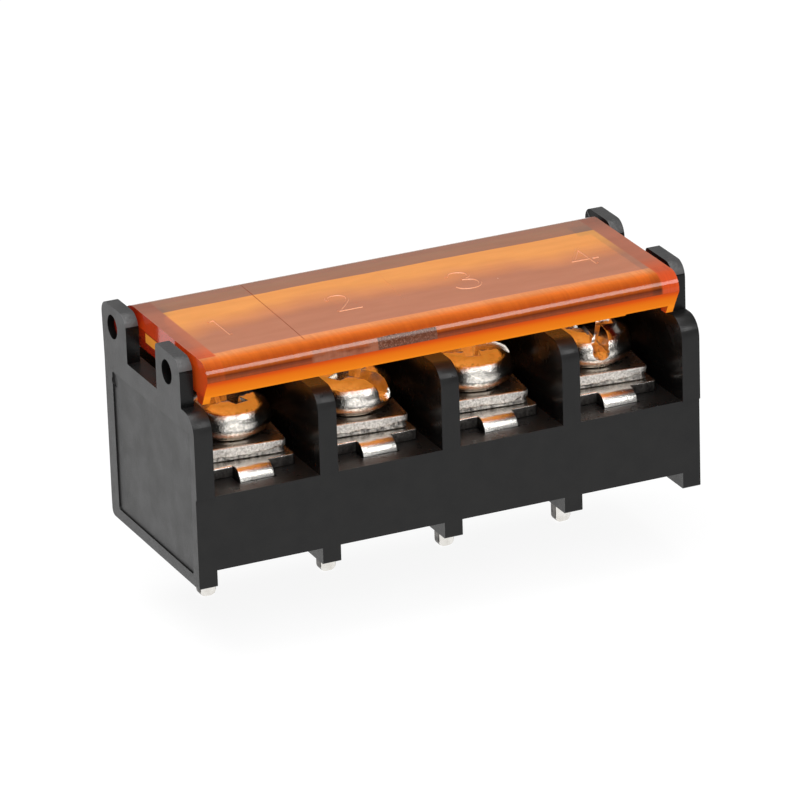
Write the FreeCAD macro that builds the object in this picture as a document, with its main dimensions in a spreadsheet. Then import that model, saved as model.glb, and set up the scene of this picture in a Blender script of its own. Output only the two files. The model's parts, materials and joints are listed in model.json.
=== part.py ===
import FreeCAD, Part
import math
import os

# Four-pole barrier terminal strip with a hinged transparent cover.
# Millimetres, +Z up, front (wire side) towards -Y, poles run along +X.
# Origin: centre of the seating plane, on the underside of the middle foot rib.

os.makedirs("parts", exist_ok=True)
doc = FreeCAD.newDocument("barrier_strip")
V = FreeCAD.Vector

# ---------------------------------------------------------------- dimensions
SIZES = [
    ("poles", 4), ("pitch", 9.5), ("wallth", 1.4), ("depth", 15.88),
    ("footheight", 1.24), ("sillz", 6.82), ("flatz", 11.5), ("wallz", 13.02),
    ("shoulder", 1.5), ("proud", 0.15), ("backth", 1.4), ("backz", 12.95),
    ("earth", 1.0), ("earz", 16.55), ("holerad", 0.9), ("holez", 14.98),
    ("rearhole", 6.205), ("fronthole", -3.637),
    ("panelrecess", 0.12),
    ("coverleft", 18.45), ("coverright", 18.2), ("covertop", 16.65), ("coverfront", 7.99), ("coverrear", 7.3),
    ("coverplate", 1.2), ("coverlip", 1.0), ("coverend", 1.5),
    ("lipz", 13.9), ("creasez", 15.35), ("coverround", 1.2), ("coverrearround", 2.2), ("coverinner", 1.1),
    ("endz", 14.0), ("lugz", 13.35), ("lugwide", 0.55),
    ("nubrad", 0.85), ("nublen", 0.75),
    ("screwy", -1.19), ("platehalf", 3.4), ("plateth", 0.85), ("platefront", -5.25),
    ("platerear", 2.4), ("tabwide", 2.7), ("tabfront", -6.45), ("tabz", 6.45), ("tabshift", -0.08),
    ("leghalf", 1.5), ("legz", 4.5), ("pinhalf", 0.62), ("pinrear", 4.575), ("pinz", -6.05),
    ("tapradius", 1.78), ("collarrad", 2.5), ("collarz", 5.6),
    ("washerside", 6.7), ("washerth", 1.0), ("washerhole", 1.8), ("washergap", 0.05), ("washerturn", -6.0), ("washercorner", 0.6),
    ("shankrad", 1.72), ("shanklen", 6.0), ("headgap", 0.06), ("headhigh", 2.52),
    ("headtop", 2.0), ("headrim", 2.77), ("headwide", 3.15), ("headfoot", 2.72), ("headseat", 0.22),
    ("slotwide", 1.5), ("slotfloor", 1.05), ("slotdeep", 1.3), ("crosswide", 1.1), ("crossreach", 1.8), ("crossdeep", 1.75),
    ("wellrad", 2.75), ("wellz", 2.0),
]
sheet = doc.addObject("Spreadsheet::Sheet", "Sizes")
for i, (alias, value) in enumerate(SIZES, start=1):
    sheet.set("A%d" % i, alias)
    sheet.set("B%d" % i, str(value))
    sheet.setAlias("B%d" % i, alias)
doc.recompute()
S = {alias: float(sheet.get(alias)) for alias, _ in SIZES}

# ---------------------------------------------------------------- helpers
TO_YZ = FreeCAD.Rotation(0.5, 0.5, 0.5, 0.5)      # sketch x -> Y, sketch y -> Z, normal -> X


def bind(obj, **props):
    """Bind properties of an object to spreadsheet expressions."""
    for prop, text in props.items():
        obj.setExpression(prop.replace("__", "."), text)
    return obj


def box(name, x, y, z, dx, dy, dz):
    """Box whose corner and sides are expressions over the sheet."""
    o = doc.addObject("Part::Box", name)
    bind(o, Length=dx, Width=dy, Height=dz)
    o.setExpression("Placement.Base.x", x)
    o.setExpression("Placement.Base.y", y)
    o.setExpression("Placement.Base.z", z)
    return o


def cyl(name, r, height, x, y, z, rot=None):
    """Cylinder whose radius, height and base are expressions."""
    o = doc.addObject("Part::Cylinder", name)
    if rot is not None:
        o.Placement = FreeCAD.Placement(V(0, 0, 0), rot)
    bind(o, Radius=r, Height=height)
    o.setExpression("Placement.Base.x", x)
    o.setExpression("Placement.Base.y", y)
    o.setExpression("Placement.Base.z", z)
    return o


def rounded(points):
    """Edges of a closed outline: points are (u, v) or (u, v, radius)."""
    n = len(points)
    P = [V(p[0], p[1], 0) for p in points]
    R = [p[2] if len(p) > 2 else 0.0 for p in points]
    ins, outs, mids = [], [], []
    for i in range(n):
        a, b, c = P[i - 1], P[i], P[(i + 1) % n]
        if R[i] <= 0:
            ins.append(b); outs.append(b); mids.append(None)
            continue
        u = (a - b).normalize()
        w = (c - b).normalize()
        ang = math.acos(max(-1, min(1, u.dot(w))))
        d = R[i] / math.tan(ang / 2)
        pa, pc = b + u * d, b + w * d
        bis = (u + w).normalize()
        centre = b + bis * (R[i] / math.sin(ang / 2))
        mids.append(centre - bis * R[i])
        ins.append(pa); outs.append(pc)
    edges = []
    for i in range(n):
        if mids[i] is not None:
            edges.append(("arc", ins[i], mids[i], outs[i]))
        j = (i + 1) % n
        if (ins[j] - outs[i]).Length > 1e-7:
            edges.append(("line", outs[i], ins[j]))
    return edges


def outline(name, points, placement):
    """Closed sketch of straight runs and tangent arcs."""
    sk = doc.addObject("Sketcher::SketchObject", name)
    for e in rounded(points):
        if e[0] == "line":
            sk.addGeometry(Part.LineSegment(e[1], e[2]), False)
        else:
            sk.addGeometry(Part.Arc(e[1], e[2], e[3]), False)
    sk.Placement = placement
    return sk


def prism_x(name, points, x0, length):
    """Solid from a Y-Z outline, starting at X = x0 and running along +X."""
    sk = outline(name + "_outline", points, FreeCAD.Placement(V(0, 0, 0), TO_YZ))
    sk.setExpression("Placement.Base.x", x0)
    ex = doc.addObject("Part::Extrusion", name)
    ex.Base = sk
    ex.DirMode = "Custom"
    ex.Dir = V(1, 0, 0)
    ex.Solid = True
    ex.setExpression("LengthFwd", length)
    return ex


def prism_z(name, points, z0, length):
    """Solid from an X-Y outline, starting at Z = z0 and running along +Z."""
    sk = outline(name + "_outline", points, FreeCAD.Placement(V(0, 0, 0), FreeCAD.Rotation()))
    sk.setExpression("Placement.Base.z", z0)
    ex = doc.addObject("Part::Extrusion", name)
    ex.Base = sk
    ex.DirMode = "Custom"
    ex.Dir = V(0, 0, 1)
    ex.Solid = True
    ex.setExpression("LengthFwd", length)
    return ex


def fuse(name, objs):
    o = doc.addObject("Part::MultiFuse", name)
    o.Shapes = objs
    o.Refine = True
    return o


def cut(name, base, tool):
    o = doc.addObject("Part::Cut", name)
    o.Base, o.Tool, o.Refine = base, tool, True
    return o


def fillet(name, base, radius, pick):
    """Fillet the edges of a base that pick(edge) accepts."""
    doc.recompute()
    o = doc.addObject("Part::Fillet", name)
    o.Base = base
    chosen = [(i, radius, radius) for i, e in enumerate(base.Shape.Edges, start=1) if pick(e)]
    o.Edges = chosen
    doc.recompute()
    if "Invalid" in o.State or o.Shape.isNull() or not o.Shape.isValid():
        raise RuntimeError("fillet failed: %s on %d edges" % (name, len(chosen)))
    return o


def bb(e):
    return e.BoundBox


def flat(a, b, tol=1e-4):
    return abs(a - b) < tol


POLES = int(S["poles"])
HALF = POLES * S["pitch"] / 2 + S["wallth"] / 2       # half of the overall length
HALFX = "(Sizes.poles * Sizes.pitch + Sizes.wallth) / 2"
D2 = S["depth"] / 2
subparts = []

# ================================================================ housing
floor_block = box("floor_block", "-" + HALFX, "-Sizes.depth / 2", "Sizes.footheight",
                  "2 * " + HALFX, "Sizes.depth", "Sizes.sillz - Sizes.footheight")
back_wall = box("back_wall", "-" + HALFX, "Sizes.depth / 2 - Sizes.backth", "Sizes.footheight",
                "2 * " + HALFX, "Sizes.backth", "Sizes.backz - Sizes.footheight")

# upright wall outline: foot at the bottom, rounded shoulder at the front top
def wall_points(front):
    return [(front, S["sillz"]), (front, S["wallz"], S["shoulder"]), (D2 + 0.04, S["wallz"], 0.25),
            (D2, S["footheight"]), (D2 - 0.05, 0.0, 0.5), (-D2, 0.0, 0.12), (-D2, S["sillz"])]

walls = []
for k in range(1, POLES):
    walls.append(prism_x("divider_%d" % k, wall_points(-D2 - 0.03),
                         "(%d - Sizes.poles / 2) * Sizes.pitch - Sizes.wallth / 2" % k, "Sizes.wallth"))
for side, sign in (("left", -1), ("right", 1)):
    x0 = "-" + HALFX if sign < 0 else HALFX + " - Sizes.wallth"
    walls.append(prism_x("end_wall_" + side, wall_points(-D2 - S["proud"]), x0, "Sizes.wallth"))
    # ears stand flush with the outer face and are thinner than the wall
    ex0 = "-" + HALFX if sign < 0 else HALFX + " - Sizes.earth"
    yr0, yr1 = 11.62 - 7.94, 16.12 - 7.94
    yf0, yf1 = 1.97 - 7.94, 6.24 - 7.94
    rear = prism_x("rear_ear_" + side, [(yr0, S["wallz"] - 0.8), (yr1 - 0.2, S["wallz"] - 0.8), (yr1, S["earz"], 0.95),
                                        (yr0, S["earz"], 1.15)], ex0, "Sizes.earth")
    front = prism_x("front_ear_" + side, [(yf0, S["wallz"] - 0.8), (yf1 + 0.05, S["wallz"] - 0.8), (yf1, S["earz"], 0.3),
                                          (yf0, S["earz"], 1.15)], ex0, "Sizes.earth")
    walls += [rear, front]

body_raw = fuse("housing_raw", [floor_block, back_wall] + walls)

cuts = []
ROT_X = FreeCAD.Rotation(V(0, 1, 0), 90)
cuts.append(cyl("rear_pivot_hole", "Sizes.holerad", "2 * " + HALFX + " + 2", "-" + HALFX + " - 1", "Sizes.rearhole", "Sizes.holez", ROT_X))
cuts.append(cyl("front_pivot_hole", "Sizes.holerad", "2 * " + HALFX + " + 2", "-" + HALFX + " - 1", "Sizes.fronthole", "Sizes.holez", ROT_X))
for k in range(POLES):
    xc = "(%d + 0.5 - Sizes.poles / 2) * Sizes.pitch" % k
    # round well under each screw, slot for the leg, slot for the pin, and pocket for the bent tab
    cuts.append(cyl("screw_well_%d" % k, "Sizes.wellrad", "Sizes.sillz - Sizes.wellz + 1", xc, "Sizes.screwy", "Sizes.wellz"))
    cuts.append(box("leg_slot_%d" % k, xc + " - Sizes.leghalf - 0.1", "Sizes.pinrear - Sizes.plateth - 0.1", "Sizes.legz - 0.15",
                    "2 * Sizes.leghalf + 0.2", "Sizes.plateth + 0.2", "Sizes.sillz - Sizes.legz + 1"))
    cuts.append(box("pin_slot_%d" % k, xc + " - Sizes.pinhalf - 0.08", "Sizes.pinrear - Sizes.plateth - 0.1", "-1",
                    "2 * Sizes.pinhalf + 0.16", "Sizes.plateth + 0.2", "Sizes.legz + 1.5"))
    cuts.append(box("tab_pocket_%d" % k, xc + " + Sizes.tabshift - Sizes.tabwide / 2 - 0.1", "Sizes.tabfront - 0.1", "Sizes.tabz - 0.1",
                    "Sizes.tabwide + 0.2", "Sizes.plateth + 0.5", "Sizes.sillz - Sizes.tabz + 1"))

# shallow bare panel on the left end face
panel_points = [(7.94 - 7.94 - 7.42, 11.62), (6.66, 11.45), (6.55, 0.85), (-6.95, 0.85)]
panel = prism_x("panel_recess", [(p[0], p[1], 0.2) for p in panel_points], "-" + HALFX + " - 1", "1 + Sizes.panelrecess")
cuts.append(panel)
mark = cyl("ejector_mark", "0.42", "1 + Sizes.panelrecess + 0.05", "-" + HALFX + " - 1", "6.35", "10.75", ROT_X)
cuts.append(mark)

body_tools = fuse("housing_tools", cuts)
housing_cut = cut("housing_sharp", body_raw, body_tools)

doc.recompute()
housing = housing_cut
housing.Label = "housing"
subparts.append(housing)

# ================================================================ cover
CF, CR, CT = S["coverfront"], S["coverrear"], S["covertop"]
slope = 0.85                                   # how far the lip leans in by its lower edge
lean = 0.30                                    # the same at the rear, which is rounded more
outer = [(-CF + slope, S["lipz"], 0.08), (-CF, S["creasez"], 0.05), (-CF, CT, S["coverround"]),
         (CR, CT, S["coverrearround"]), (CR, S["creasez"] - 0.95), (CR - lean, S["lipz"], 0.08),
         (CR - lean - S["coverlip"], S["lipz"], 0.08), (CR - S["coverlip"] - 0.25, CT - S["coverplate"], S["coverinner"]),
         (-CF + S["coverlip"] + 0.25, CT - S["coverplate"], S["coverinner"]), (-CF + slope + S["coverlip"], S["lipz"], 0.08)]
cover_shell = prism_x("cover_shell", outer, "-Sizes.coverleft", "Sizes.coverleft + Sizes.coverright")
pieces = [cover_shell]
for side, sign in (("left", -1), ("right", 1)):
    x0 = "-Sizes.coverleft" if sign < 0 else "Sizes.coverright - Sizes.coverend"
    endp = [(-CF + slope - 0.05, S["endz"]), (-CF + 0.02, S["creasez"]), (-CF + 0.3, CT - 0.6), (CR - 1.4, CT - 0.6),
            (CR - 0.2, S["creasez"] - 0.45), (CR - 0.4, S["endz"], 0.1)]
    pieces.append(prism_x("cover_end_" + side, endp, x0, "Sizes.coverend"))
    # small lug at each front corner, resting just above the wall shoulder
    lx0 = "-Sizes.coverleft" if sign < 0 else "Sizes.coverright - Sizes.lugwide"
    lug = [(-CF + slope - 0.12, S["lipz"] + 0.2), (-CF + slope + 0.28, S["lugz"], 0.15), (-CF + slope + 1.05, S["lugz"], 0.15),
           (-CF + slope + 1.25, S["lipz"] + 0.2)]
    pieces.append(prism_x("cover_lug_" + side, lug, lx0, "Sizes.lugwide"))
    # hinge boss and nub
    bx0 = "-Sizes.coverleft" if sign < 0 else "Sizes.coverright - 2.4"
    pieces.append(prism_x("hinge_boss_" + side, [(3.1, S["endz"], 0.2), (3.1, CT - 1.0), (CR - 0.6, CT - 1.0), (CR - 0.45, S["endz"], 0.2)],
                          bx0, "2.4"))
    nx0 = "-Sizes.coverleft - Sizes.nublen" if sign < 0 else "Sizes.coverright - 0.3"
    length = "Sizes.nublen + 0.3" if sign < 0 else "Sizes.coverleft - Sizes.coverright + Sizes.nublen + 0.3"
    pieces.append(cyl("hinge_nub_" + side, "Sizes.nubrad", length, nx0, "Sizes.rearhole", "Sizes.holez", ROT_X))
cover_fused = fuse("cover_fused", pieces)
# the lip is a little shorter over its last stretch before the right lug
lip_step = box("lip_step", "14.3", "-Sizes.coverfront", "Sizes.lipz - 0.6", "Sizes.coverright - Sizes.lugwide - 14.3", "2.4", "0.72")
cover = cut("cover", cover_fused, lip_step)
cover.Label = "cover"
subparts.append(cover)

# ================================================================ terminals
for k in range(POLES):
    n = k + 1
    xm = (k + 0.5 - POLES / 2) * S["pitch"]
    xc = "(%d + 0.5 - Sizes.poles / 2) * Sizes.pitch" % k
    top = S["sillz"] + S["plateth"]
    plate = prism_z("plate_%d" % n, [(xm - S["platehalf"], S["platefront"], 0.25), (xm + S["platehalf"], S["platefront"], 0.25),
                                     (xm + S["platehalf"], S["platerear"], 0.4), (xm - S["platehalf"], S["platerear"], 0.4)],
                    "Sizes.sillz", "Sizes.plateth")
    # front tab bends down over the floor into its pocket
    c = S["tabfront"] + 1.0
    tab = prism_x("tab_%d" % n, [(-3.0, S["sillz"]), (c - 0.15 + 0.0, S["sillz"], 0.12), (c - 0.15, S["tabz"]), (S["tabfront"], S["tabz"], 0.1),
                                 (S["tabfront"], top, 1.0), (-3.0, top)], xc + " + Sizes.tabshift - Sizes.tabwide / 2", "Sizes.tabwide")
    # neck and leg at the rear
    leg = prism_x("leg_%d" % n, [(1.5, S["sillz"]), (S["pinrear"] - S["plateth"], S["sillz"], 0.12), (S["pinrear"] - S["plateth"], S["legz"]),
                                 (S["pinrear"], S["legz"]), (S["pinrear"], top, 0.8), (1.5, top)], xc + " - Sizes.leghalf", "2 * Sizes.leghalf")
    pinp = [(xm - S["pinhalf"], S["legz"] + 0.4), (xm + S["pinhalf"], S["legz"] + 0.4), (xm + S["pinhalf"], S["pinz"], 0.45), (xm - S["pinhalf"], S["pinz"], 0.45)]
    sk = outline("pin_%d_outline" % n, pinp, FreeCAD.Placement(V(0, 0, 0), FreeCAD.Rotation(V(1, 0, 0), 90)))
    sk.setExpression("Placement.Base.y", "Sizes.pinrear")
    pin = doc.addObject("Part::Extrusion", "pin_%d" % n)
    pin.Base, pin.DirMode, pin.Dir, pin.Solid = sk, "Custom", V(0, -1, 0), True
    pin.setExpression("LengthFwd", "Sizes.plateth")
    collar = cyl("collar_%d" % n, "Sizes.collarrad", "Sizes.sillz - Sizes.collarz + 0.3", xc, "Sizes.screwy", "Sizes.collarz")
    solid = fuse("terminal_%d_solid" % n, [plate, tab, leg, pin, collar])
    hole = cyl("tap_%d" % n, "Sizes.tapradius", "6", xc, "Sizes.screwy", "Sizes.collarz - 1")
    term = cut("terminal_%d" % n, solid, hole)
    term.Label = "terminal_%d" % n
    subparts.append(term)

# ================================================================ clamp washers
for k in range(POLES):
    n = k + 1
    xm = (k + 0.5 - POLES / 2) * S["pitch"]
    hs = S["washerside"] / 2
    sk = outline("washer_%d_outline" % n, [(-hs, -hs, S["washercorner"]), (hs, -hs, S["washercorner"]), (hs, hs, S["washercorner"]), (-hs, hs, S["washercorner"])],
                 FreeCAD.Placement(V(0, 0, 0), FreeCAD.Rotation(V(0, 0, 1), S["washerturn"])))
    sk.setExpression("Placement.Base.x", "(%d + 0.5 - Sizes.poles / 2) * Sizes.pitch" % k)
    sk.setExpression("Placement.Base.y", "Sizes.screwy")
    sk.setExpression("Placement.Base.z", "Sizes.sillz + Sizes.plateth + Sizes.washergap")
    ex = doc.addObject("Part::Extrusion", "washer_%d_blank" % n)
    ex.Base, ex.DirMode, ex.Dir, ex.Solid = sk, "Custom", V(0, 0, 1), True
    ex.setExpression("LengthFwd", "Sizes.washerth")
    ztop = S["sillz"] + S["plateth"] + S["washergap"] + S["washerth"]
    rounded_blank = fillet("washer_%d_rollover" % n, ex, 0.16, lambda e: flat(bb(e).ZMin, ztop) and flat(bb(e).ZMax, ztop))
    hole = cyl("washer_%d_hole" % n, "Sizes.washerhole", "4", "(%d + 0.5 - Sizes.poles / 2) * Sizes.pitch" % k,
               "Sizes.screwy", "Sizes.sillz")
    w = cut("clamp_washer_%d" % n, rounded_blank, hole)
    w.Label = "clamp_washer_%d" % n
    subparts.append(w)

# ================================================================ clamp screws
ANGLES = [14.0, -60.0, -16.0, 81.0]             # where each screw's slot points
zfoot = S["sillz"] + S["plateth"] + S["washergap"] + S["washerth"] + S["headgap"]


def cross_outline(name, reach, half, height):
    """Closed cross-shaped sketch for one end of the tapered driver recess."""
    c = [(reach, -half), (reach, half), (half, half), (half, reach), (-half, reach), (-half, half),
         (-reach, half), (-reach, -half), (-half, -half), (-half, -reach), (half, -reach), (half, -half)]
    sk = doc.addObject("Sketcher::SketchObject", name)
    for i in range(12):
        p, q = c[i], c[(i + 1) % 12]
        sk.addGeometry(Part.LineSegment(V(p[0], p[1], 0), V(q[0], q[1], 0)), False)
    sk.setExpression("Placement.Base.z", height)
    return sk


for k in range(POLES):
    n = k + 1
    body = doc.addObject("PartDesign::Body", "screw_%d_body" % n)
    xz = [f for f in body.Origin.OriginFeatures if f.Role == "XZ_Plane"][0]
    sk = body.newObject("Sketcher::SketchObject", "screw_%d_profile" % n)
    sk.AttachmentSupport = [(xz, "")]
    sk.MapMode = "FlatFace"
    hh, seat = S["headhigh"], S["headseat"]
    # half section of the turned screw: axis at x = 0, raised seat ring of the head at height 0
    a = [V(0, hh, 0), V(S["headtop"], hh, 0), V(S["headwide"], seat + 1.1, 0), V(S["headfoot"], seat, 0),
         V(2.42, seat, 0), V(2.36, 0.0, 0), V(S["shankrad"] + 0.05, 0.0, 0), V(S["shankrad"], -0.05, 0),
         V(S["shankrad"], -S["shanklen"] + 0.45, 0), V(S["shankrad"] - 0.4, -S["shanklen"], 0), V(0, -S["shanklen"], 0)]
    # nearly flat top, low dome out to the rim, then a bulging flank
    dome, rim, flank = V(2.40, hh - 0.16, 0), V(S["headrim"], hh - 0.38, 0), V(3.0, hh - 0.76, 0)
    belly = V(3.08, seat + 0.46, 0)
    geo = [Part.LineSegment(a[0], a[1]), Part.Arc(a[1], dome, rim), Part.Arc(rim, flank, a[2]), Part.Arc(a[2], belly, a[3])]
    for i in range(3, 10):
        geo.append(Part.LineSegment(a[i], a[i + 1]))
    geo.append(Part.LineSegment(a[10], a[0]))
    sk.addGeometry(geo, False)
    doc.recompute()
    rev = body.newObject("PartDesign::Revolution", "screw_%d_turned" % n)
    rev.Profile = sk
    rev.ReferenceAxis = (sk, ["V_Axis"])
    rev.Angle = 360.0
    doc.recompute()
    body.Tip = rev
    cut_tools = []
    # slot with drafted sides right across the head, flared where it leaves the rim
    low, rise = hh - S["slotdeep"], 0.3
    half_low, half_top = S["slotfloor"] / 2, S["slotwide"] / 2
    half_over = half_top + (half_top - half_low) * rise / S["slotdeep"]
    cut_tools.append(prism_x("screw_%d_slot" % n, [(-half_low, low, 0.15), (half_low, low, 0.15), (half_over, hh + rise), (-half_over, hh + rise)], "-4", "8"))
    for side, turn in (("a", 90), ("b", -90)):
        flare = doc.addObject("Part::Cone", "screw_%d_flare_%s" % (n, side))
        flare.Radius1, flare.Radius2, flare.Height = 0.2, 0.98, 1.3
        flare.Placement = FreeCAD.Placement(V(2.3 if turn > 0 else -2.3, 0, hh - 1.02), FreeCAD.Rotation(V(0, 1, 0), turn))
        cut_tools.append(flare)
    # cross recess, tapered towards its floor
    top_cross = cross_outline("screw_%d_cross_top" % n, S["crossreach"] + 0.03, S["crosswide"] / 2, "Sizes.headhigh + 0.05")
    low_cross = cross_outline("screw_%d_cross_floor" % n, 0.7, 0.3, "Sizes.headhigh - Sizes.crossdeep")
    cross = doc.addObject("Part::Loft", "screw_%d_cross" % n)
    cross.Sections, cross.Solid, cross.Ruled = [low_cross, top_cross], True, True
    cut_tools.append(cross)
    tools = fuse("screw_%d_tools" % n, cut_tools)
    scr = cut("clamp_screw_%d" % n, body, tools)
    scr.Placement = FreeCAD.Placement(V(0, 0, 0), FreeCAD.Rotation(V(0, 0, 1), ANGLES[k]))
    scr.setExpression("Placement.Base.x", "(%d + 0.5 - Sizes.poles / 2) * Sizes.pitch" % k)
    scr.setExpression("Placement.Base.y", "Sizes.screwy")
    scr.setExpression("Placement.Base.z", "Sizes.sillz + Sizes.plateth + Sizes.washergap + Sizes.washerth + Sizes.headgap")
    scr.Label = "clamp_screw_%d" % n
    subparts.append(scr)

# ================================================================ check and write
doc.recompute()
bad = [o.Name for o in doc.Objects if "Invalid" in o.State or "Error" in o.State]
if bad:
    raise RuntimeError("objects failed: %s" % bad)
for o in subparts:
    s = o.Shape
    if s.isNull() or not s.isValid() or s.Volume <= 0:
        raise RuntimeError("bad shape: %s" % o.Label)
    if len(s.Solids) != 1:
        raise RuntimeError("%s has %d solids" % (o.Label, len(s.Solids)))
for o in subparts:
    o.Shape.exportStep(os.path.join("parts", o.Label + ".step"))
    b = o.Shape.BoundBox
    print("%-16s vol %8.2f  x %.2f..%.2f  y %.2f..%.2f  z %.2f..%.2f" % (o.Label, o.Shape.Volume, b.XMin, b.XMax, b.YMin, b.YMax, b.ZMin, b.ZMax))
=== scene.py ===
import json
import math
import bpy
import bmesh
import numpy as np
from mathutils import Matrix, Vector, noise

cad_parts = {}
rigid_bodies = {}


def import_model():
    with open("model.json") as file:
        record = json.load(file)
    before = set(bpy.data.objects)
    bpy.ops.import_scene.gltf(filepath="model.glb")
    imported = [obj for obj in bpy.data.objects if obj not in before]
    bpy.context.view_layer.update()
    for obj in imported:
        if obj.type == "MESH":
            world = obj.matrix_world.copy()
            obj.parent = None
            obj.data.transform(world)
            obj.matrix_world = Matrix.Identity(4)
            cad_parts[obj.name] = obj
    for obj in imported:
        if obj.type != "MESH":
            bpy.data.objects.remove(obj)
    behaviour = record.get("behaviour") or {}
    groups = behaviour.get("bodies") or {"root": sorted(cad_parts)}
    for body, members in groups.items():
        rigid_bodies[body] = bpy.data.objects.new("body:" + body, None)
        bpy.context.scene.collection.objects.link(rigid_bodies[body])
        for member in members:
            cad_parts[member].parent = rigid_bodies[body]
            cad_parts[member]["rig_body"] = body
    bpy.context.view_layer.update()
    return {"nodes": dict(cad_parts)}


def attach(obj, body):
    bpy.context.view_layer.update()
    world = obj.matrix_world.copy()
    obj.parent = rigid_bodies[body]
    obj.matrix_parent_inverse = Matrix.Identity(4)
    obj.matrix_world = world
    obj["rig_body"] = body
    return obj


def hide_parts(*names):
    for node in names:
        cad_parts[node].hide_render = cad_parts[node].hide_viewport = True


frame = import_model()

NODES = frame["nodes"]
MM = 0.001
POLES = [-14.25, -4.75, 4.75, 14.25]      # pole centres along X, mm
SCREW_Y = -1.19
SCREW_Z = 8.78                            # seat ring of the screw head
SLOTS = [14.0, -60.0, -16.0, 81.0]        # where each screw's slot points, degrees
scene = bpy.context.scene


# ------------------------------------------------------------------ node helpers
class Mat:
    """A node material with short helpers."""

    def __init__(self, name):
        self.m = bpy.data.materials.new(name)
        self.m.use_nodes = True
        self.t = self.m.node_tree
        self.b = self.t.nodes["Principled BSDF"]
        self.out = self.t.nodes["Material Output"]
        self.x = -300

    def node(self, kind, **props):
        n = self.t.nodes.new(kind)
        n.location = (self.x, 0)
        self.x -= 180
        for k, v in props.items():
            setattr(n, k, v)
        return n

    def link(self, a, b):
        self.t.links.new(a, b)

    def set(self, **vals):
        for k, v in vals.items():
            self.b.inputs[k.replace("_", " ")].default_value = v
        return self

    def coords(self, scale=(1, 1, 1), rot=(0, 0, 0), loc=(0, 0, 0)):
        tc = self.node("ShaderNodeTexCoord")
        mp = self.node("ShaderNodeMapping")
        mp.inputs["Scale"].default_value = scale
        mp.inputs["Rotation"].default_value = rot
        mp.inputs["Location"].default_value = loc
        self.link(tc.outputs["Object"], mp.inputs["Vector"])
        return mp.outputs["Vector"]

    def axis(self, which):
        tc = self.node("ShaderNodeTexCoord")
        s = self.node("ShaderNodeSeparateXYZ")
        self.link(tc.outputs["Object"], s.inputs[0])
        return s.outputs[which]

    def noise(self, scale, detail=4.0, rough=0.55, vec=None, distortion=0.0):
        n = self.node("ShaderNodeTexNoise")
        n.inputs["Scale"].default_value = scale
        n.inputs["Detail"].default_value = detail
        n.inputs["Roughness"].default_value = rough
        n.inputs["Distortion"].default_value = distortion
        self.link(vec if vec is not None else self.coords(), n.inputs["Vector"])
        return n.outputs["Fac"]

    def cells(self, scale, vec=None, feature="F1"):
        n = self.node("ShaderNodeTexVoronoi", feature=feature)
        n.inputs["Scale"].default_value = scale
        self.link(vec if vec is not None else self.coords(), n.inputs["Vector"])
        return n.outputs["Distance"]

    def ramp(self, fac, stops):
        r = self.node("ShaderNodeValToRGB")
        els = r.color_ramp.elements
        while len(els) < len(stops):
            els.new(0.5)
        for e, (p, c) in zip(els, stops):
            e.position = p
            e.color = c if isinstance(c, tuple) else (c, c, c, 1)
        self.link(fac, r.inputs["Fac"])
        return r.outputs["Color"]

    def span(self, fac, a, b, lo=0.0, hi=1.0):
        r = self.node("ShaderNodeMapRange")
        r.inputs["From Min"].default_value = lo
        r.inputs["From Max"].default_value = hi
        r.inputs["To Min"].default_value = a
        r.inputs["To Max"].default_value = b
        self.link(fac, r.inputs["Value"])
        return r.outputs["Result"]

    def math(self, op, a, b=None):
        n = self.node("ShaderNodeMath", operation=op)
        for i, v in enumerate((a, b)):
            if v is None:
                continue
            if isinstance(v, (int, float)):
                n.inputs[i].default_value = v
            else:
                self.link(v, n.inputs[i])
        return n.outputs[0]

    def mix(self, fac, a, b):
        n = self.node("ShaderNodeMix", data_type="RGBA")
        self.link(fac, n.inputs[0])
        for i, v in ((6, a), (7, b)):
            if isinstance(v, tuple):
                n.inputs[i].default_value = v
            else:
                self.link(v, n.inputs[i])
        return n.outputs[2]

    def bump(self, height, strength=0.3, distance=0.00005, normal=None):
        n = self.node("ShaderNodeBump")
        n.inputs["Strength"].default_value = strength
        n.inputs["Distance"].default_value = distance
        self.link(height, n.inputs["Height"])
        if normal is not None:
            self.link(normal, n.inputs["Normal"])
        return n.outputs["Normal"]

    def to(self, socket, value):
        self.link(value, self.b.inputs[socket])
        return self


# ------------------------------------------------------------------ mesh helpers
def new_object(name, mesh):
    o = bpy.data.objects.new(name, mesh)
    scene.collection.objects.link(o)
    return o


def mesh_object(name, verts, faces, scale=MM):
    me = bpy.data.meshes.new(name)
    me.from_pydata([(v[0] * scale, v[1] * scale, v[2] * scale) for v in verts], [], faces)
    me.update()
    return new_object(name, me)


def finished_mesh(o):
    """Applies all modifiers of an object to its mesh."""
    dg = bpy.context.evaluated_depsgraph_get()
    me = bpy.data.meshes.new_from_object(o.evaluated_get(dg))
    o.modifiers.clear()
    old = o.data
    o.data = me
    if old.users == 0:
        bpy.data.meshes.remove(old)
    return o


def marked(o, angle=35.0):
    """Smooth faces, with sharp edges above an angle."""
    bm = bmesh.new()
    bm.from_mesh(o.data)
    lim = math.radians(angle)
    for f in bm.faces:
        f.smooth = True
    for e in bm.edges:
        e.smooth = not (len(e.link_faces) == 2 and e.calc_face_angle(0.0) > lim)
    bm.to_mesh(o.data)
    bm.free()
    return o


def weighted(o, angle=35.0):
    """Smooth shading that keeps big flat faces flat."""
    marked(o, angle)
    m = o.modifiers.new("weights", "WEIGHTED_NORMAL")
    m.mode = "FACE_AREA"
    m.weight = 50
    m.keep_sharp = True
    return finished_mesh(o)


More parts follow.
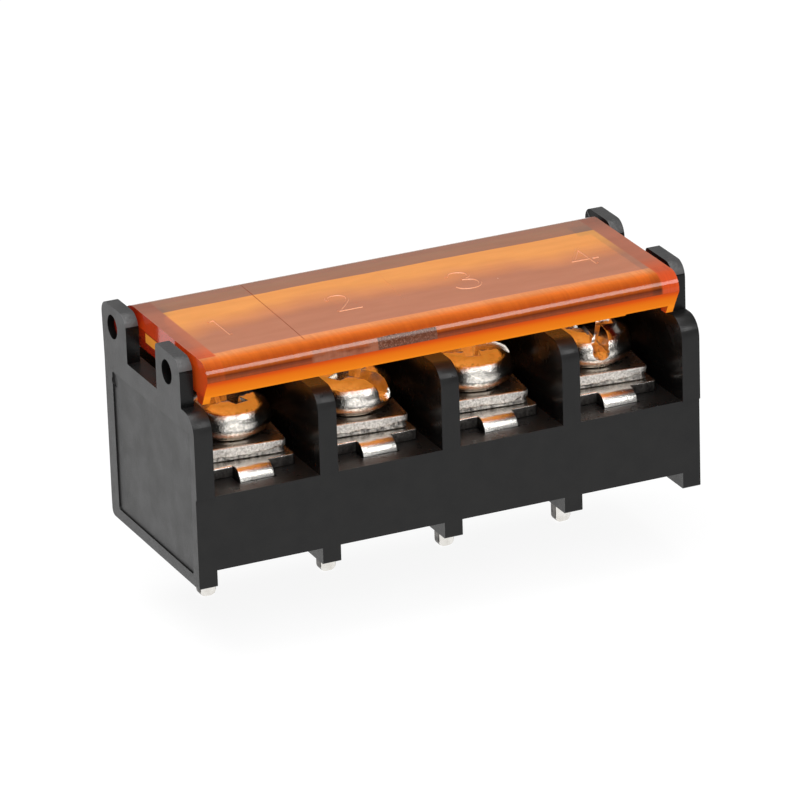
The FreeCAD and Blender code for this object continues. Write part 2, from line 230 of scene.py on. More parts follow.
def bevelled(o, width, segments=2, angle=30.0):
    m = o.modifiers.new("edges", "BEVEL")
    m.width = width * MM
    m.segments = segments
    m.limit_method = "ANGLE"
    m.angle_limit = math.radians(angle)
    m.miter_outer = "MITER_ARC"
    m.use_clamp_overlap = True
    return finished_mesh(o)


def boolean(o, tool, operation):
    m = o.modifiers.new("tool", "BOOLEAN")
    m.operation = operation
    m.object = tool
    m.solver = "EXACT"
    finished_mesh(o)
    data = tool.data
    bpy.data.objects.remove(tool)
    bpy.data.meshes.remove(data)
    return o


def copy_of(node, name, bevel=0.12, segments=3, angle=30.0, dissolve=1.0):
    """Own copy of a CAD node's mesh, cleaned to plain faces and with softened edges."""
    me = NODES[node].data.copy()
    me.materials.clear()
    o = new_object(name, me)
    bm = bmesh.new()
    bm.from_mesh(me)
    bmesh.ops.remove_doubles(bm, verts=bm.verts, dist=1e-7)
    bmesh.ops.dissolve_limit(bm, angle_limit=math.radians(dissolve), verts=bm.verts, edges=bm.edges, delimit={"NORMAL"})
    bm.to_mesh(me)
    bm.free()
    if bevel:
        bevelled(o, bevel, segments, angle)
    return o


def place(o, node, mats, pick=None):
    """Give a piece its body, hide the node it stands for, and give it its finish and its face materials."""
    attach(o, NODES[node]["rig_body"])
    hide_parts(node)
    o.data.materials.clear()
    for m in mats:
        o.data.materials.append(m)
    if pick is not None:
        for p in o.data.polygons:
            c = p.center / MM
            p.material_index = pick(c.x, c.y, c.z, p.normal)
    return o


def lathe(profile, segments):
    """Closed solid from a (radius, height) profile whose first and last points are on the axis."""
    verts, faces = [], []
    top = len(verts)
    verts.append((0, 0, profile[0][1]))
    rows = []
    for r, z in profile[1:-1]:
        rows.append(len(verts))
        for i in range(segments):
            a = 2 * math.pi * i / segments
            verts.append((r * math.cos(a), r * math.sin(a), z))
    low = len(verts)
    verts.append((0, 0, profile[-1][1]))
    for i in range(segments):
        j = (i + 1) % segments
        faces.append((top, rows[0] + i, rows[0] + j))
        for a, b in zip(rows[:-1], rows[1:]):
            faces.append((a + i, b + i, b + j, a + j))
        faces.append((rows[-1] + i, low, rows[-1] + j))
    return verts, faces


def arc3(p, q, r, n):
    """Points of the arc from p through q to r."""
    ax, ay, bx, by, cx, cy = *p, *q, *r
    d = 2 * (ax * (by - cy) + bx * (cy - ay) + cx * (ay - by))
    ux = ((ax * ax + ay * ay) * (by - cy) + (bx * bx + by * by) * (cy - ay) + (cx * cx + cy * cy) * (ay - by)) / d
    uy = ((ax * ax + ay * ay) * (cx - bx) + (bx * bx + by * by) * (ax - cx) + (cx * cx + cy * cy) * (bx - ax)) / d
    rad = math.hypot(ax - ux, ay - uy)
    a0, a1, a2 = (math.atan2(v[1] - uy, v[0] - ux) for v in (p, q, r))
    while a1 - a0 > math.pi:
        a1 -= 2 * math.pi
    while a1 - a0 < -math.pi:
        a1 += 2 * math.pi
    while a2 - a1 > math.pi:
        a2 -= 2 * math.pi
    while a2 - a1 < -math.pi:
        a2 += 2 * math.pi
    return [(ux + rad * math.cos(a0 + (a2 - a0) * i / n), uy + rad * math.sin(a0 + (a2 - a0) * i / n)) for i in range(n + 1)]


def extruded(points, axis, a, b):
    """Prism of a closed outline; axis 'x' takes (y, z) points, axis 'z' takes (x, y) points."""
    n = len(points)
    if axis == "x":
        verts = [(a, p[0], p[1]) for p in points] + [(b, p[0], p[1]) for p in points]
    else:
        verts = [(p[0], p[1], a) for p in points] + [(p[0], p[1], b) for p in points]
    faces = [tuple(range(n))[::-1], tuple(range(n, 2 * n))]
    faces += [(i, (i + 1) % n, n + (i + 1) % n, n + i) for i in range(n)]
    return verts, faces


def outward(o):
    bm = bmesh.new()
    bm.from_mesh(o.data)
    bmesh.ops.recalc_face_normals(bm, faces=bm.faces)
    bm.to_mesh(o.data)
    bm.free()
    return o


def sstep(x):
    x = min(1.0, max(0.0, x))
    return x * x * (3 - 2 * x)


# ------------------------------------------------------------------ camera
cam_data = bpy.data.cameras.new("camera")
cam_data.sensor_width = 36.0
cam_data.lens = 300.645
cam_data.clip_start = 0.02
cam_data.clip_end = 20.0
cam = bpy.data.objects.new("camera", cam_data)
scene.collection.objects.link(cam)
R = Vector((0.9066917508715566, -0.4207372113200473, -0.029837357659502402))
U = Vector((0.18207099799299728, 0.32659155185172933, 0.9274632660913927))
F = Vector((0.3804736792359036, 0.8463558100879968, -0.3727219099261348))
cam.matrix_world = Matrix(((R.x, U.x, -F.x, -0.18245623), (R.y, U.y, -F.y, -0.40519365), (R.z, U.z, -F.z, 0.18621771), (0, 0, 0, 1)))
scene.camera = cam

# ------------------------------------------------------------------ look settings
scene.view_settings.view_transform = "Standard"
scene.view_settings.look = "None"
scene.cycles.use_denoising = True
scene.cycles.max_bounces = 14
scene.cycles.transmission_bounces = 10
scene.cycles.transparent_max_bounces = 10
scene.cycles.glossy_bounces = 7
scene.cycles.diffuse_bounces = 4
scene.cycles.sample_clamp_indirect = 8.0
scene.cycles.blur_glossy = 0.3

# ------------------------------------------------------------------ stage
world = bpy.data.worlds.new("studio")
scene.world = world
world.use_nodes = True
bg = world.node_tree.nodes["Background"]
bg.inputs["Color"].default_value = (1.0, 1.0, 1.0, 1)
bg.inputs["Strength"].default_value = 0.22


def area(name, loc, target, size, radiance, size_y=None, colour=(1, 1, 1)):
    """Soft light of a given brightness as seen directly."""
    size_y = size_y or size
    d = bpy.data.lights.new(name, "AREA")
    d.shape = "RECTANGLE"
    d.size, d.size_y = size, size_y
    d.energy = radiance * math.pi * size * size_y
    d.color = colour
    o = bpy.data.objects.new(name, d)
    scene.collection.objects.link(o)
    o.location = loc
    o.rotation_euler = (Vector(target) - Vector(loc)).to_track_quat("-Z", "Y").to_euler()
    o.visible_camera = False
    return o


area("softbox_top", (-0.13, 0.03, 0.66), (0, 0, 0.0), 0.58, 2.95, 0.62)
area("softbox_front", (-0.19, -0.42, 0.54), (0, 0, 0.01), 0.50, 3.0, 0.42)
area("softbox_low", (-0.12, -0.75, 0.13), (0, 0, 0.005), 0.42, 1.8, 0.20)
area("softbox_edge", (0.304, -0.580, 0.475), (0, 0, 0.015), 0.20, 5.2, 0.30)

fm = Mat("floor_white")
fm.set(Base_Color=(0.93, 0.93, 0.93, 1), Roughness=0.9)
fm.to("Base Color", fm.ramp(fm.noise(900.0, 3.0, 0.6), [(0.3, 0.130), (0.7, 0.135)]))
fm.b.inputs["Emission Color"].default_value = (1, 1, 1, 1)
fm.b.inputs["Emission Strength"].default_value = 0.90
fm.b.inputs["Specular IOR Level"].default_value = 0.2
s = 3.0
floor = mesh_object("floor", [(-s, -s, -0.00606), (s, -s, -0.00606), (s, s, -0.00606), (-s, s, -0.00606)], [(0, 1, 2, 3)], 1.0)
floor.data.materials.append(fm.m)


# ------------------------------------------------------------------ materials
def black(name, low, high, rough, level, bumps):
    a = Mat(name)
    a.set(IOR=1.5)
    a.b.inputs["Specular IOR Level"].default_value = level
    soft = a.noise(650.0, 3.0, 0.5)
    a.to("Base Color", a.ramp(soft, [(0.25, (low, low, low * 1.03, 1)), (0.8, (high, high * 0.985, high * 0.96, 1))]))
    a.to("Roughness", a.span(soft, rough[0], rough[1], 0.3, 0.7))
    normal = None
    for scale, strength, depth in bumps:
        normal = a.bump(a.noise(scale, 3.0, 0.6), strength, depth, normal)
    a.to("Normal", normal)
    return a.m


M_BLACK = black("black_plastic", 0.007, 0.012, (0.24, 0.36), 0.45, [(7000.0, 0.55, 0.00003), (1500.0, 0.03, 0.00003)])
# painted shade: a darker copy of the black plastic for the compartment walls and the ear rim sides
M_INNER_SHADE = black("black_inner_painted_shade", 0.0028, 0.0045, (0.20, 0.30), 0.22, [(6000.0, 0.30, 0.00002), (900.0, 0.03, 0.00004)])
# painted shade: a near-black copy of the black plastic inside the hinge holes
M_HOLE_SHADE = black("black_hole_painted_shade", 0.0010, 0.0020, (0.40, 0.55), 0.10, [(5200.0, 0.4, 0.00003)])
# painted sheen: a paler copy of the black plastic on the upward faces high on the housing, the ear tops, where light
# falls
M_EAR_TOP_SHEEN = black("black_ear_top_painted_sheen", 0.040, 0.070, (0.32, 0.50), 0.80, [(5200.0, 0.9, 0.00006)])
M_FRONT = black("black_front", 0.0080, 0.0130, (0.36, 0.46), 0.24, [(7000.0, 0.30, 0.00002)])
# painted light: paler copies of the black plastic for the end faces and their recessed panel stand in for the light
# falling on the ends; the grain bump is the real finish
M_GRAIN_LIT = black("black_grain_painted_light", 0.036, 0.056, (0.42, 0.55), 0.55, [(9000.0, 0.9, 0.00005), (4200.0, 0.45, 0.00004)])
M_PANEL_LIT = black("black_panel_painted_light", 0.0175, 0.027, (0.38, 0.50), 0.48, [(9000.0, 0.7, 0.00004)])
# painted sheen: a paler, brownish copy of the black plastic on the sill tops stands in for what they reflect
M_SILL_SHEEN = black("black_sill_painted_sheen", 0.040, 0.062, (0.40, 0.50), 0.50, [(5000.0, 0.6, 0.00004)])
# paler strip on the bevel along the sill's front edge
M_PALE_SILL_EDGE = black("black_pale_sill_edge", 0.13, 0.20, (0.45, 0.60), 0.50, [(6000.0, 0.9, 0.00005)])

# a few pale specks of moulding dust on the front
fb = M_FRONT.node_tree
spots = fb.nodes.new("ShaderNodeTexVoronoi")
spots.inputs["Scale"].default_value = 210.0
where = fb.nodes.new("ShaderNodeTexCoord")
small = fb.nodes.new("ShaderNodeMath")
small.operation = "LESS_THAN"
small.inputs[1].default_value = 0.017
blend = fb.nodes.new("ShaderNodeMix")
blend.data_type = "RGBA"
blend.inputs[7].default_value = (0.42, 0.40, 0.37, 1)
fp = fb.nodes["Principled BSDF"]
first = fp.inputs["Base Color"].links[0].from_socket
fb.links.new(where.outputs["Object"], spots.inputs["Vector"])
fb.links.new(spots.outputs["Distance"], small.inputs[0])
fb.links.new(small.outputs[0], blend.inputs[0])
fb.links.new(first, blend.inputs[6])
fb.links.new(blend.outputs[2], fp.inputs["Base Color"])


def metal(name, base, dark, rough, bumps, patches=1800.0):
    a = Mat(name)
    a.set(Metallic=1.0)
    n = a.noise(patches, 5.0, 0.6)
    a.to("Base Color", a.ramp(n, [(0.30, dark), (0.62, base)]))
    a.to("Roughness", a.span(n, rough[1], rough[0], 0.3, 0.7))
    normal = None
    for scale, stretch, strength, depth in bumps:
        normal = a.bump(a.noise(scale, 4.0, 0.62, a.coords(stretch)), strength, depth, normal)
    a.to("Normal", normal)
    return a.m


M_TIN = metal("tinned_metal", (0.90, 0.88, 0.84, 1), (0.78, 0.75, 0.70, 1), (0.18, 0.28),
              [(1500.0, (1.0, 0.25, 1.0), 0.25, 0.00003), (8000.0, (1, 1, 1), 0.7, 0.00003)])
# painted shade: the plates' sheared edges in near-black metal stand in for the shade under and beside the washers;
# their rough grain is the real finish
M_TIN_EDGE_SHADE = metal("tinned_edge_painted_shade", (0.15, 0.14, 0.13, 1), (0.035, 0.032, 0.030, 1), (0.26, 0.44),
                   [(3500.0, (1.0, 1.0, 0.3), 0.9, 0.00008), (12000.0, (1, 1, 1), 0.6, 0.00003)])
M_STEEL = metal("plated_steel", (0.58, 0.54, 0.50, 1), (0.50, 0.46, 0.42, 1), (0.24, 0.32),
                [(900.0, (1, 1, 1), 0.10, 0.00003), (8000.0, (1, 1, 1), 0.35, 0.00002)], 700.0)
M_SHEAR = metal("sheared_edge", (0.99, 0.97, 0.93, 1), (0.52, 0.50, 0.46, 1), (0.40, 0.55),
                [(6500.0, (1.0, 1.0, 0.7), 1.0, 0.00008), (13000.0, (1, 1, 1), 0.9, 0.00004)], 6500.0)
# painted shade: the torn band's metal goes near black in patches, standing in for the shadow of its undercut; its rough
# grain is the real finish
M_TORN_SHADE = metal("torn_edge_painted_shade", (0.62, 0.59, 0.55, 1), (0.030, 0.028, 0.026, 1), (0.36, 0.55),
               [(3200.0, (1.0, 1.0, 1.0), 1.0, 0.00014)], 3600.0)
M_NICKEL = metal("nickel_screw", (0.86, 0.81, 0.74, 1), (0.70, 0.64, 0.56, 1), (0.10, 0.17),
                 [(2200.0, (1.0, 1.0, 1.0), 0.12, 0.00004), (9000.0, (1.0, 1.0, 1.0), 0.25, 0.00002)], 2200.0)
M_RIM = metal("nickel_rim", (0.92, 0.88, 0.82, 1), (0.56, 0.52, 0.46, 1), (0.06, 0.12),
              [(3200.0, (1.0, 1.0, 0.7), 0.30, 0.00004), (10000.0, (1.0, 1.0, 1.0), 0.80, 0.000025)], 5200.0)
M_THREAD = metal("thread_steel", (0.60, 0.57, 0.53, 1), (0.45, 0.42, 0.38, 1), (0.18, 0.34),
                 [(4000.0, (1, 1, 1), 0.3, 0.00002)])


def amber(name, base, through, rough, painted_glow=None, level=0.5, haze=0.06):
    """Dyed clear plastic: through is the share of light that passes, the rest scatters in the dye. painted_glow is
    painted light: an emission that stands in for light gathered in the plastic.
    """
    a = Mat(name)
    a.set(IOR=1.52, Roughness=rough)
    a.b.inputs["Transmission Weight"].default_value = through
    a.b.inputs["Specular IOR Level"].default_value = level
    cloud = a.noise(260.0, 3.0, 0.5, a.coords((0.3, 1, 1)))
    dark = tuple(v * 0.90 for v in base[:3]) + (1,)
    a.to("Base Color", a.ramp(cloud, [(0.3, dark), (0.7, base)]))
    a.to("Normal", a.bump(a.noise(5200.0, 3.0, 0.6), haze, 0.00001))
    if painted_glow:
        a.b.inputs["Emission Color"].default_value = painted_glow[0]
        a.b.inputs["Emission Strength"].default_value = painted_glow[1]
    return a.m


def amber_skin(name, level):
    """Outer skin of the cover: thin over the hollow, thick and deep red at the ends. Its colour bands are painted light
    and shade: light coming through the strip, a painted highlight tone and painted shade on the rounded front edge, and
    painted shade over the rear wall.
    """
    a = Mat(name)
    a.set(IOR=1.52)
    a.b.inputs["Transmission Weight"].default_value = 0.25
    a.b.inputs["Specular IOR Level"].default_value = level
    drift = a.span(a.noise(150.0, 2.0, 0.5, a.coords((1, 0.2, 0.2))), -0.00030, 0.00030, 0.3, 0.7)
    y = a.axis(1)
    soft = a.math("ADD", y, a.math("MULTIPLY", drift, 3.0))
    keen = a.math("ADD", y, a.math("MULTIPLY", drift, 0.3))
    # across the strip, front to rear: painted light and shade, darker low on the rounded front edge and brightest where
    # light comes through behind it
    band = a.ramp(a.span(keen, 0.0, 1.0, -0.00799, -0.00590), [
        (0.000, (0.46, 0.100, 0.018, 1)), (0.040, (0.47, 0.112, 0.016, 1)),
        (0.10, (0.47, 0.090, 0.006, 1)), (0.145, (0.46, 0.074, 0.003, 1)), (0.20, (0.49, 0.084, 0.003, 1)), (0.265, (0.58, 0.112, 0.005, 1)),
        (0.35, (0.68, 0.142, 0.009, 1)), (0.46, (0.86, 0.200, 0.020, 1)), (0.62, (0.96, 0.285, 0.055, 1)), (0.785, (0.98, 0.370, 0.120, 1)), (0.97, (0.96, 0.370, 0.150, 1))])
    # painted light over the flat top, brightening into a band behind the middle
    flat = a.ramp(a.span(soft, 0.0, 1.0, -0.0058, 0.0030), [
        (0.0, (0.55, 0.240, 0.150, 1)), (0.40, (0.53, 0.230, 0.138, 1)), (0.56, (0.70, 0.292, 0.125, 1)), (0.80, (0.94, 0.415, 0.110, 1))])
    # painted shade over the rear wall, darkest at the rear edge
    rear = a.ramp(a.span(y, 0.0, 1.0, 0.0030, 0.0073), [
        (0.0, (0.35, 0.190, 0.130, 1)), (0.50, (0.37, 0.210, 0.142, 1)), (0.75, (0.43, 0.265, 0.150, 1)), (1.0, (0.22, 0.06, 0.02, 1))])
    front_line = a.span(keen, 0.0, 1.0, -0.00598, -0.00580)
    rear_line = a.span(keen, 0.0, 1.0, 0.00300, 0.00310)
    body = a.mix(rear_line, a.mix(front_line, band, flat), rear)
    # ends: solid plastic beyond the hollow, deep red, with painted light brighter at the front and painted shade
    # towards the rear
    x = a.axis(0)
    wide = a.math("ABSOLUTE", a.math("ADD", x, 0.00012))
    ends = a.span(wide, 0.0, 1.0, 0.01690, 0.01705)
    left_front = a.math("MULTIPLY", a.math("LESS_THAN", x, 0.0), a.math("LESS_THAN", keen, -0.0064))
    ends = a.math("MULTIPLY", ends, a.math("SUBTRACT", 1.0, a.math("MULTIPLY", left_front, 0.8)))
    deep = a.ramp(a.span(y, 0.0, 1.0, -0.0075, 0.0045), [
        (0.0, (0.80, 0.100, 0.020, 1)), (0.12, (0.80, 0.135, 0.035, 1)), (0.30, (0.56, 0.180, 0.100, 1)), (0.85, (0.55, 0.200, 0.120, 1)), (1.0, (0.34, 0.150, 0.100, 1))])
    colour = a.mix(ends, body, deep)
    # painted shade: a dark line low on the rounded front edge, above the crease, left out at the ends
    low = a.ramp(a.span(a.axis(2), 0.0, 1.0, 0.01545, 0.01605), [
        (0.0, (0.55, 0.45, 0.45, 1)), (0.20, (0.34, 0.26, 0.24, 1)), (0.46, (0.26, 0.19, 0.16, 1)), (0.66, (0.74, 0.66, 0.64, 1)), (0.85, (1.0, 1.0, 1.0, 1))])
    m0 = a.node("ShaderNodeMix", data_type="RGBA", blend_type="MULTIPLY")
    a.link(a.math("MULTIPLY", a.math("LESS_THAN", y, -0.0072), a.math("SUBTRACT", 1.0, ends)), m0.inputs[0])
    a.link(colour, m0.inputs[6])
    a.link(low, m0.inputs[7])
    colour = m0.outputs[2]
    # rounded front edge: a stretch with a painted mottled highlight tone, then a patch made rougher by wear, whose dark
    # tone and pale glints are painted shade and painted highlight
    grit = a.noise(9000.0, 4.0, 0.7)
    front = a.math("LESS_THAN", keen, -0.00777)
    painted_mottle_span = a.math("MULTIPLY", a.span(x, 0.0, 1.0, -0.01055, -0.01025), a.math("LESS_THAN", x, -0.00540))
    blots = a.span(a.noise(900.0, 3.0, 0.6, a.coords((0.5, 1, 1))), 0.25, 1.0, 0.40, 0.56)
    colour = a.mix(a.math("MULTIPLY", a.math("MULTIPLY", painted_mottle_span, front), blots), colour, (0.30, 0.120, 0.075, 1))
    patch = a.math("MULTIPLY", a.math("GREATER_THAN", x, -0.00540), a.math("LESS_THAN", x, -0.00085))
    patch = a.math("MULTIPLY", patch, front)
    worn_and_shaded = a.ramp(grit, [(0.36, (0.070, 0.026, 0.016, 1)), (0.54, (0.13, 0.058, 0.040, 1)), (0.68, (0.30, 0.20, 0.165, 1))])
    colour = a.mix(patch, colour, worn_and_shaded)
    # soft cloudy shading
    cloud = a.noise(900.0, 3.0, 0.55, a.coords((0.25, 1, 1)))
    shade = a.ramp(cloud, [(0.30, (0.90, 0.88, 0.86, 1)), (0.70, (1.0, 1.0, 1.0, 1))])
    m = a.node("ShaderNodeMix", data_type="RGBA", blend_type="MULTIPLY")
    m.inputs[0].default_value = 1.0
    a.link(colour, m.inputs[6])
    a.link(shade, m.inputs[7])
    # fine draw lines across the rounded edge, and a few pale specks
    lines = a.noise(5200.0, 3.0, 0.7, a.coords((1.0, 0.04, 0.04)))
    edge = a.math("LESS_THAN", y, -0.0060)
    line_shade = a.ramp(lines, [(0.36, (0.74, 0.70, 0.66, 1)), (0.62, (1.0, 1.0, 1.0, 1))])
    m2 = a.node("ShaderNodeMix", data_type="RGBA", blend_type="MULTIPLY")
    a.link(a.math("MULTIPLY", edge, 0.50), m2.inputs[0])
    a.link(m.outputs[2], m2.inputs[6])
    a.link(line_shade, m2.inputs[7])
    speck = a.math("LESS_THAN", a.cells(190.0), 0.013)
    colour = a.mix(speck, m2.outputs[2], (0.90, 0.66, 0.50, 1))
    # mould line across the cover
    off = a.math("ADD", x, a.math("ADD", a.math("MULTIPLY", y, -0.03), 0.01022))
    seam = a.math("MULTIPLY", a.math("LESS_THAN", a.math("ABSOLUTE", off), 0.000040), a.math("GREATER_THAN", y, -0.0066))
    a.to("Base Color", a.mix(a.math("MULTIPLY", seam, 0.55), colour, (0.26, 0.055, 0.020, 1)))
    n1 = a.bump(a.math("MULTIPLY", lines, edge), 0.30, 0.00002)
    n2 = a.bump(a.math("MULTIPLY", grit, patch), 0.30, 0.00002, n1)
    a.to("Normal", a.bump(a.noise(5200.0, 3.0, 0.6), 0.05, 0.00001, n2))
    r = a.span(a.noise(1200.0, 3.0, 0.6), 0.06, 0.11, 0.3, 0.7)
    a.to("Roughness", a.math("ADD", r, a.math("MULTIPLY", patch, 0.12)))
    return a.m


# painted light: both skins carry the painted light and shade bands; the second reflects less low on the front edge
M_AMBER = amber_skin("amber_clear", 0.5)
M_AMBER_LOW = amber_skin("amber_low_edge", 0.08)
# painted glow: the inside of the cover and its lip emit light that stands in for light gathered through the cover
M_AMBER_IN_GLOW = amber("amber_inside_painted_glow", (0.97, 0.36, 0.05, 1), 0.45, 0.35, ((1.0, 0.44, 0.060, 1), 0.42), 0.3, 0.12)
M_AMBER_LIP_GLOW = amber("amber_lip_painted_glow", (0.90, 0.22, 0.014, 1), 0.0, 0.16, ((1.0, 0.17, 0.003, 1), 0.24), 0.0)
# painted highlight: a pale opaque tone for the sides of the raised strokes
M_MARK_EDGE_LIT = amber("amber_mark_painted_highlight", (0.88, 0.390, 0.215, 1), 0.0, 0.25)
M_AMBER_END_LIT = amber("amber_end_painted_light", (0.58, 0.055, 0.010, 1), 0.35, 0.10, None, 0.4)


def painted_lip_light(m):
    """Lip: red below the crease, with painted light brighter towards its lower edge and painted shade darkest at the
    crease.
    """
    t = m.node_tree
    tc, sp = t.nodes.new("ShaderNodeTexCoord"), t.nodes.new("ShaderNodeSeparateXYZ")
    mr, cr = t.nodes.new("ShaderNodeMapRange"), t.nodes.new("ShaderNodeValToRGB")
    mr.inputs["From Min"].default_value, mr.inputs["From Max"].default_value = 0.0138, 0.0156
    stops = [(0.0, (0.73, 0.240, 0.016, 1)), (0.083, (0.72, 0.230, 0.015, 1)), (0.25, (0.65, 0.185, 0.012, 1)), (0.472, (0.60, 0.152, 0.010, 1)),
             (0.62, (0.56, 0.105, 0.009, 1)), (0.72, (0.50, 0.060, 0.009, 1)), (0.80, (0.43, 0.040, 0.010, 1)), (0.845, (0.34, 0.030, 0.009, 1)), (0.87, (0.10, 0.014, 0.005, 1)), (1.0, (0.10, 0.016, 0.005, 1))]
    while len(cr.color_ramp.elements) < len(stops):
        cr.color_ramp.elements.new(0.5)
    for e, (p_, c) in zip(cr.color_ramp.elements, stops):
        e.position, e.color = p_, c
    t.links.new(tc.outputs["Object"], sp.inputs[0])
    t.links.new(sp.outputs[2], mr.inputs["Value"])
    t.links.new(mr.outputs["Result"], cr.inputs["Fac"])
    t.links.new(cr.outputs["Color"], t.nodes["Principled BSDF"].inputs["Base Color"])


painted_lip_light(M_AMBER_LIP_GLOW)


def end_face(m):
    """Solid end of the cover: red, with painted shade low down where the housing stands behind it, one thin painted
    bright window where light comes through the hollow, and a painted brighter front.
    """
    t = m.node_tree
    tc, sp = t.nodes.new("ShaderNodeTexCoord"), t.nodes.new("ShaderNodeSeparateXYZ")
    t.links.new(tc.outputs["Object"], sp.inputs[0])

    def step(axis, a_, b_):
        n = t.nodes.new("ShaderNodeMapRange")
        n.inputs["From Min"].default_value, n.inputs["From Max"].default_value = a_, b_
        t.links.new(sp.outputs[axis], n.inputs["Value"])
        return n.outputs["Result"]

    def times(p_, q_):
        n = t.nodes.new("ShaderNodeMath")
        n.operation = "MULTIPLY"
        t.links.new(p_, n.inputs[0])
        t.links.new(q_, n.inputs[1])
        return n.outputs[0]

    def mixed(f_, a_, b_):
        n = t.nodes.new("ShaderNodeMix")
        n.data_type = "RGBA"
        t.links.new(f_, n.inputs[0])
        for i, v in ((6, a_), (7, b_)):
            if isinstance(v, tuple):
                n.inputs[i].default_value = v
            else:
                t.links.new(v, n.inputs[i])
        return n.outputs[2]

    upper = step(2, 0.01538, 0.01546)
    colour = mixed(upper, (0.22, 0.010, 0.004, 1), (0.48, 0.040, 0.010, 1))
    window = times(times(step(1, 0.00075, 0.00085), step(1, 0.00315, 0.00305)), times(step(2, 0.01460, 0.01466), step(2, 0.01536, 0.01530)))
    colour = mixed(window, colour, (0.95, 0.42, 0.06, 1))
    colour = mixed(step(1, -0.0040, -0.0062), colour, (0.60, 0.070, 0.012, 1))
    t.links.new(colour, t.nodes["Principled BSDF"].inputs["Base Color"])


end_face(M_AMBER_END_LIT)

# ------------------------------------------------------------------ housing
housing = weighted(copy_of("housing", "housing_body", 0.14, 3), 40)


# face slots: 1 front; 2 and 3 the end faces and their panel, paler as painted light; 4 the sill tops, paler as painted
# sheen; 5 the pale sill edge; 6 the compartment walls and ear rim sides, darker as painted shade; 7 the ear tops, paler
# as painted sheen; 8 the hinge holes, near black as painted shade
def housing_face(x, y, z, n):
    if n.x < -0.9 and x < -19.65:
        return 2
    if n.x < -0.9 and x < -19.5:
        return 3
    if n.x > 0.9 and x > 19.6:
        return 2
    if n.y < -0.9 and y < -7.85:
        return 1
    if 6.6 < z < 6.9 and y < -5.2:
        return 4 if n.z > 0.95 else (5 if n.z > 0.15 and y < -7.7 else 0)
    if abs(x) > 18.4 and min(math.hypot(y - 6.2, z - 14.98), math.hypot(y + 3.64, z - 14.98)) < 1.02:
        return 8
    if z > 13.3 and abs(n.x) < 0.5:
        return 7 if n.z > 0.30 else 6
    if z > 6.9 and -7.6 < y < 6.6 and abs(x) < 18.9 and n.z < 0.5:
        return 6
    return 0


place(housing, "housing", [M_BLACK, M_FRONT, M_GRAIN_LIT, M_PANEL_LIT, M_SILL_SHEEN, M_PALE_SILL_EDGE, M_INNER_SHADE, M_EAR_TOP_SHEEN, M_HOLE_SHADE], housing_face)


# ------------------------------------------------------------------ cover
def ribbon(points, width, z0, z1, taper=0.5):
    """Low raised line along a run of points, narrower at its top."""
    pts = [Vector((p[0], p[1])) for p in points]
    verts, faces = [], []
    n = len(pts)
    for i, p in enumerate(pts):
        a = (pts[i] - pts[i - 1]).normalized() if i else (pts[1] - pts[0]).normalized()
        b = (pts[i + 1] - pts[i]).normalized() if i < n - 1 else a
        t = (a + b).normalized()
        m = Vector((-t.y, t.x)) / max(0.4, math.sqrt((1 + a.dot(b)) / 2))
        for side, z, w in ((-1, z0, 1), (1, z0, 1), (1, z1, taper), (-1, z1, taper)):
            q = p + m * (side * width / 2 * w)
            verts.append((q.x, q.y, z))
    for i in range(n - 1):
        for j in range(4):
            faces.append((4 * i + j, 4 * i + (j + 1) % 4, 4 * i + 4 + (j + 1) % 4, 4 * i + 4 + j))
    faces += [(3, 2, 1, 0), (4 * n - 4, 4 * n - 3, 4 * n - 2, 4 * n - 1)]
    return verts, faces


def curved(points, per=6):
    """Smooth run through control points."""
    P = [Vector(p) for p in points]
    P = [P[0] * 2 - P[1]] + P + [P[-1] * 2 - P[-2]]
    out = []
    for i in range(1, len(P) - 2):
        for k in range(per):
            t = k / per
            out.append(0.5 * ((2 * P[i]) + (P[i + 1] - P[i - 1]) * t + (2 * P[i - 1] - 5 * P[i] + 4 * P[i + 1] - P[i + 2]) * t * t
                              + (3 * P[i] - P[i - 1] - 3 * P[i + 1] + P[i + 2]) * t * t * t))
    return out + [P[-2]]


DIGITS = {
    "1": [(-14.55, -3.2, [[(-0.50, 2.86), (0.02, 3.14), (0.0, 0.0)]])],
    "2": [(-6.1, -2.85, [curved([(0.12, 2.25), (0.30, 2.80), (0.85, 3.02), (1.45, 2.78), (1.62, 2.22), (1.25, 1.45), (0.02, 0.02)]), [(0.02, 0.02), (1.82, 0.02)]])],
    "3": [(3.25, -3.25, [curved([(0.12, 2.72), (0.50, 3.26), (1.15, 3.30), (1.68, 2.90), (1.62, 2.25), (0.95, 1.82)]),
                         curved([(0.95, 1.82), (1.70, 1.52), (1.88, 0.82), (1.45, 0.15), (0.80, 0.0), (0.20, 0.26), (0.0, 0.62)])])],
    "4": [(12.74, -3.2, [[(1.32, 0.0), (1.32, 3.26)], [(1.36, 3.30), (0.0, 1.12), (1.93, 1.08)]])],
}
top = 16.65
cover = copy_of("cover", "cover_shell", 0.09, 2)


def raise_line(points, width, low_z, high_z, taper):
    boolean(cover, outward(mesh_object("line", *ribbon(points, width, low_z, high_z, taper))), "UNION")


for k, runs in enumerate(DIGITS.values()):
    for x0, y0, lines in runs:
        for i, line in enumerate(lines):
            raise_line([(x0 + p[0], y0 + p[1]) for p in line], 0.36, top - 0.06, top + 0.050 + 0.004 * i, 0.50)
raise_line([(-10.08, 5.0), (-10.10, 2.0), (-10.22, -2.5), (-10.42, -6.4)], 0.07, top - 0.05, top + 0.022, 0.5)
raise_line([(-0.45, 3.2), (-0.75, 0.0), (-1.05, -3.0)], 0.05, top - 0.05, top + 0.013, 0.5)
weighted(cover, 24)


